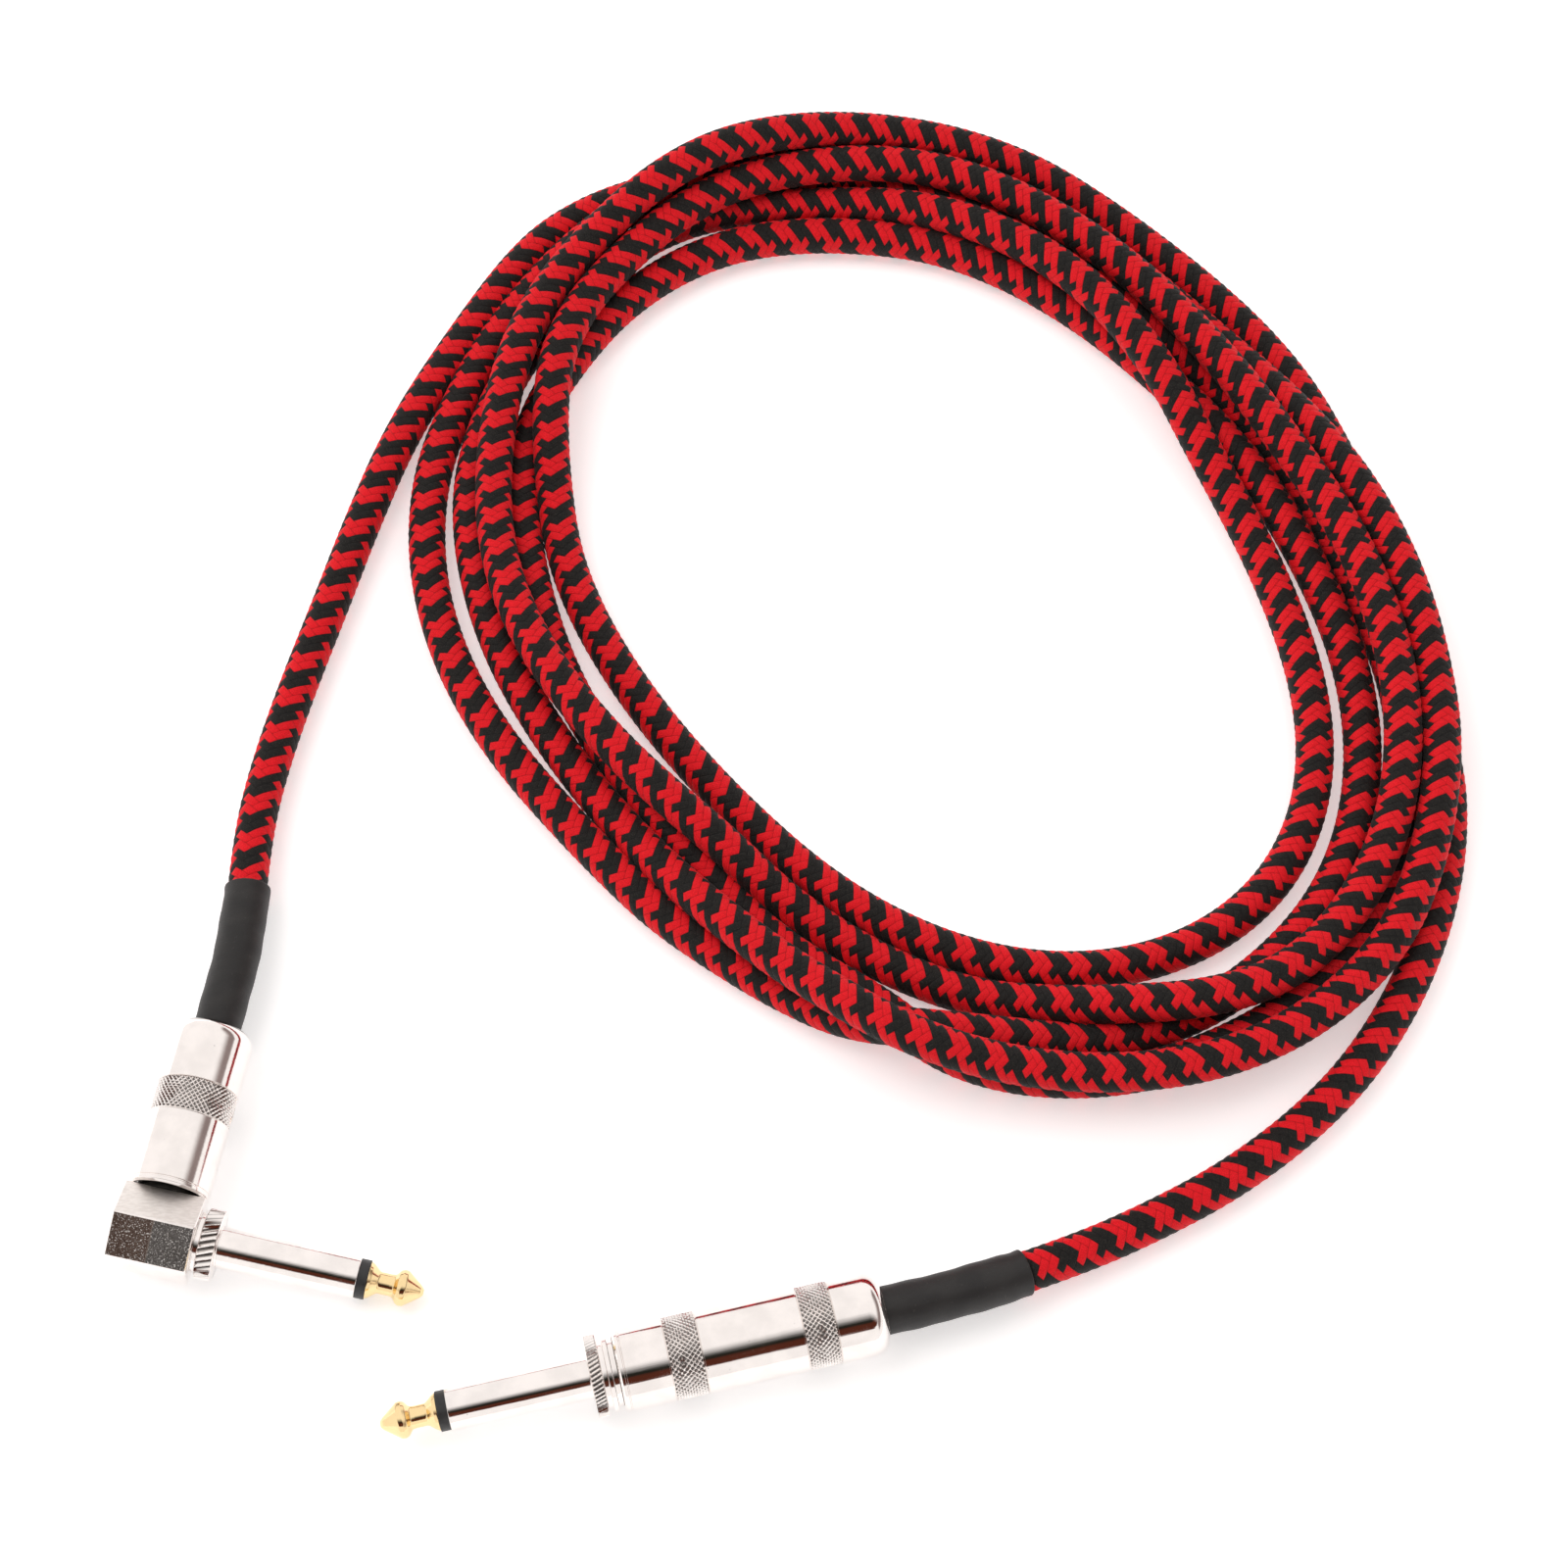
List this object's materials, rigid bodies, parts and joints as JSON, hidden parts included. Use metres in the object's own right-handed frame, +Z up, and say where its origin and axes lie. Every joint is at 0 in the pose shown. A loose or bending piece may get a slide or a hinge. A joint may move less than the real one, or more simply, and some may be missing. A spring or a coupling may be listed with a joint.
{
  "type": "instrument cable",
  "caption": "Textile-jacketed instrument cable in a loose coil, with a straight phone plug on one end, a right-angle phone plug on the other, and metal barrels that unscrew.",
  "frame": {"origin": "on the floor, at the middle of the box round the two plugs", "axes": "+X along the straight plug from its tip towards its cable, +Z up from the floor that everything lies on"},
  "size_m": [0.2318, 0.2221, 0.016],
  "materials": {
    "gold_contact": "polished gold plate",
    "black_insulator": "matte",
    "bright_plate": "polished bright nickel",
    "bright_barrel": "polished bright nickel with knurled bands",
    "cast_head": "bright nickel over a cast surface",
    "heat_shrink": "matte",
    "clear_liner": "translucent, satin",
    "plated_strip": "satin",
    "tinned_lug": "tinned, satin",
    "solder": "satin",
    "copper": "bare stranded copper",
    "dielectric": "satin",
    "fibre_insulation": "matte pressed fibre",
    "woven_jacket": "woven red and black textile"
  },
  "bodies": {
    "cable": {"angle_conductor": "copper", "angle_cord_end": "woven_jacket", "angle_dielectric": "dielectric", "angle_ground_clamp": "plated_strip", "angle_ground_solder": "solder", "angle_head": "cast_head", "angle_heat_shrink": "heat_shrink", "angle_shield_pigtail": "copper", "angle_sleeve": "bright_plate", "angle_stub_insulator": "fibre_insulation", "angle_tip": "gold_contact", "angle_tip_insulator": "black_insulator", "angle_tip_lug": "tinned_lug", "angle_tip_solder": "solder", "cord_coil": "woven_jacket", "cord_tail_angle": "woven_jacket", "cord_tail_straight": "woven_jacket", "straight_conductor": "copper", "straight_cord_end": "woven_jacket", "straight_dielectric": "dielectric", "straight_ground_clamp": "plated_strip", "straight_ground_solder": "solder", "straight_heat_shrink": "heat_shrink", "straight_rear_washer": "fibre_insulation", "straight_shield_pigtail": "copper", "straight_sleeve": "bright_plate", "straight_tip": "gold_contact", "straight_tip_insulator": "black_insulator", "straight_tip_lug": "tinned_lug", "straight_tip_solder": "solder"},
    "straight_liner": {"straight_liner": "clear_liner"},
    "straight_barrel": {"straight_barrel": "bright_barrel"},
    "angle_liner": {"angle_liner": "clear_liner"},
    "angle_barrel": {"angle_barrel": "bright_barrel"}
  },
  "joints": [
    {"name": "straight_barrel_slide", "type": "slide", "parent": "cable", "child": "straight_liner", "axis": [1, 0, 0], "range_m": [0, 0.0064]},
    {"name": "straight_barrel_turn", "type": "hinge", "parent": "straight_liner", "child": "straight_barrel", "pos_m": [0.0245, -0.042, 0.00625], "axis": [1, 0, 0], "range_deg": [0, 2880]},
    {"name": "angle_barrel_slide", "type": "slide", "parent": "cable", "child": "angle_liner", "axis": [0.4011, 0.9149, -0.045], "range_m": [0, 0.0064]},
    {"name": "angle_barrel_turn", "type": "hinge", "parent": "angle_liner", "child": "angle_barrel", "pos_m": [-0.05128, 0.012, 0.00676], "axis": [0.4011, 0.9149, -0.045], "range_deg": [0, 2880]}
  ],
  "couplings": [
    {"joint": "straight_barrel_slide", "follows": "straight_barrel_turn", "m_per_rad": 0.00012732},
    {"joint": "angle_barrel_slide", "follows": "angle_barrel_turn", "m_per_rad": 0.00012732}
  ]
}
